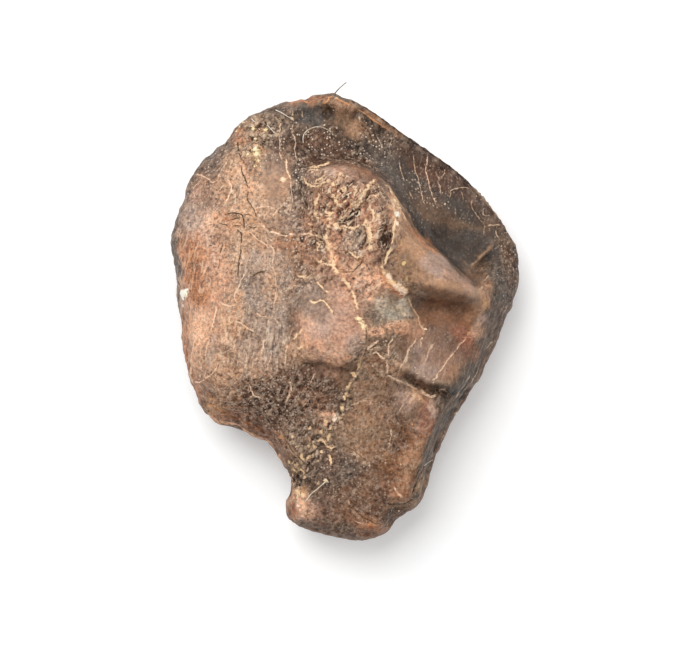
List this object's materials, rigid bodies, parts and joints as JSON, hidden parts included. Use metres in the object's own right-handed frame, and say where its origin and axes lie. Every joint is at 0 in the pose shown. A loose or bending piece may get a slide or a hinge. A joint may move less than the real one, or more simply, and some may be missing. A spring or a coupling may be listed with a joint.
{
  "type": "fossil dinosaur tooth",
  "caption": "Shed fossil dinosaur cheek tooth with a worn crown, a broken root and a flat land that it rests on.",
  "frame": {"origin": "on the table, under the middle of the footprint", "axes": "+Y from the root break to the crown's upper rim, +Z out of the table through the crown's outer face"},
  "size_m": [0.0174, 0.0222, 0.008],
  "materials": {
    "fossil": "satin, worn mineralised enamel and dentine"
  },
  "bodies": {
    "root": {"tooth": "fossil"}
  },
  "joints": []
}
